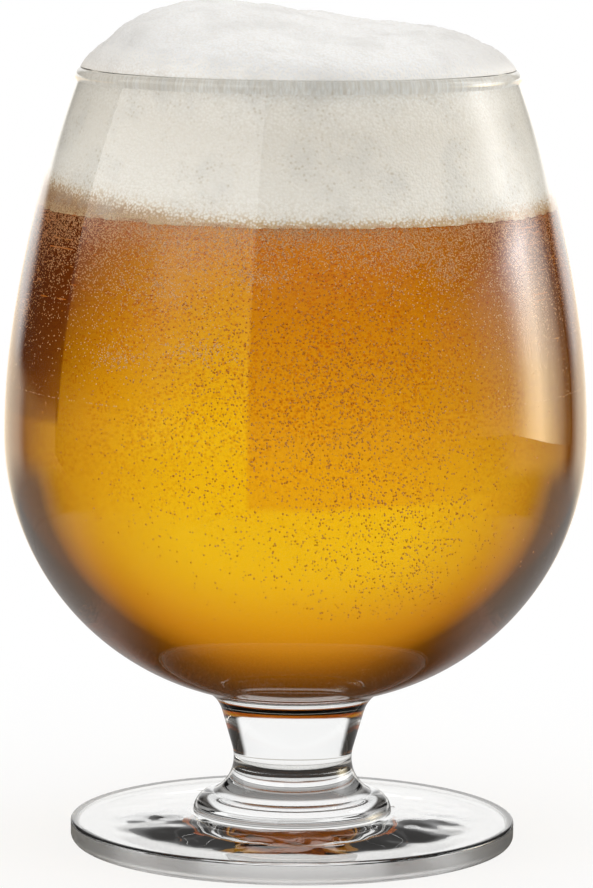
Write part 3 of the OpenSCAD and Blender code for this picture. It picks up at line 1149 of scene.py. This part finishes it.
        right = [(0.75, 0.75 * math.tan(math.radians(a - 90.0))) for a in (50.0, 90.0, 138.0)]
        heights = ((0.03, 0.02, -0.07), (0.44, 0.44, 0.44), (0.85, 0.85, 0.85))
        across = (
            (0.0, 0.0), (0.3, 0.03), (0.5, 0.16), (0.535, 0.32), (0.565, 0.55), (0.60, 0.9), (0.63, 1.0), (0.66, 1.0),
            (0.69, 0.75), (0.73, 0.5), (0.80, 0.25), (0.86, 0.11), (0.90, 0.04), (0.97, 0.02), (1.0, 0.0))
        upwards = [
            (0.0, (0.66, 0.56, 0.36)), (0.1, (0.80, 0.70, 0.48)), (0.17, (0.88, 0.81, 0.68)), (0.25, grey(0.95)),
            (0.30, grey(0.3)), (0.6, grey(0.3)), (1.0, grey(0.25))]
        self.card("card_right", right, heights, across, upwards, 9.5)

    def card(self, name, line, heights, across, upwards, strength):
        """A glowing card: a row of corners over a line for each row of heights, greys across it and colours upwards."""
        deselect()
        bpy.ops.mesh.primitive_grid_add(
            x_subdivisions=len(line) - 1, y_subdivisions=len(heights) - 1, size=1.0, location=(0.0, 0.0, 0.0))
        made = bpy.context.object
        made.name = made.data.name = name
        corners = [(*at, z) for row in heights for at, z in zip(line, row)]
        for vertex, corner in zip(made.data.vertices, corners):
            vertex.co = corner
        made.data.update()
        mat, wires, out = new_material(name)
        u, v, _ = wires.axes(wires.add("UVMap").outputs["UV"])
        greys = wires.ramp(u, [(at, grey(level)) for at, level in across])
        colour = wires.mix(greys, wires.ramp(v, upwards), 1.0, "MULTIPLY")
        wires.feed(out["Surface"], wires.emission(colour, strength))
        made.data.materials.append(mat)
        for flag in ("camera", "diffuse", "transmission", "volume_scatter", "shadow"):
            setattr(made, f"visible_{flag}", False)

    def camera(self, scene, stage):
        """The photograph's camera, in front of the glass and a little above it."""
        data = bpy.data.cameras.new("camera")
        data.lens = stage.lens
        data.sensor_width = 36.0
        data.clip_start = 0.01
        camera = bpy.data.objects.new("camera", data)
        scene.collection.objects.link(camera)
        camera.location = (0.0, -stage.camera_far, stage.camera_height)
        way = Vector((stage.aim_side, 0.0, stage.aim_height)) - camera.location
        turned = way.to_track_quat("-Z", "Y") @ Quaternion((0.0, 0.0, 1.0), stage.roll)
        camera.rotation_euler = turned.to_euler()
        scene.camera = camera


class CHALICE_PT_panel(bpy.types.Panel):
    """Lists the pieces and their sizes"""
    bl_idname = "CHALICE_PT_panel"
    bl_label = "Chalice beer glass"
    bl_space_type = "VIEW_3D"
    bl_region_type = "UI"
    bl_category = "Chalice"

    def draw(self, context):
        for operator in OPERATORS:
            self.layout.operator(operator.bl_idname)
        for group in sizes():
            column = self.layout.column(align=True)
            for key in group.__annotations__:
                column.prop(group, key)


GROUPS = {
    "chalice_glass": CHALICE_PG_glass,
    "chalice_drink": CHALICE_PG_drink,
    "chalice_finish": CHALICE_PG_finish,
    "chalice_stage": CHALICE_PG_stage,
}
OPERATORS = (
    CHALICE_OT_stage, CHALICE_OT_bowl, CHALICE_OT_stem, CHALICE_OT_button, CHALICE_OT_foot,
    CHALICE_OT_beer, CHALICE_OT_foam, CHALICE_OT_fizz, CHALICE_OT_bubbles)
CLASSES = (*GROUPS.values(), *OPERATORS, CHALICE_PT_panel)


def register():
    """Adds the classes, and the sizes and colours as settings of the scene."""
    for cls in CLASSES:
        bpy.utils.register_class(cls)
    for key, group in GROUPS.items():
        setattr(bpy.types.Scene, key, bpy.props.PointerProperty(type=group))


def unregister():
    """Takes the settings and the classes away again."""
    for key in GROUPS:
        delattr(bpy.types.Scene, key)
    for cls in reversed(CLASSES):
        bpy.utils.unregister_class(cls)


def main():
    """Builds the stage and every piece."""
    register()
    for operator in OPERATORS:
        getattr(bpy.ops.chalice, operator.bl_idname.split(".")[1])()


if __name__ == "__main__":
    main()
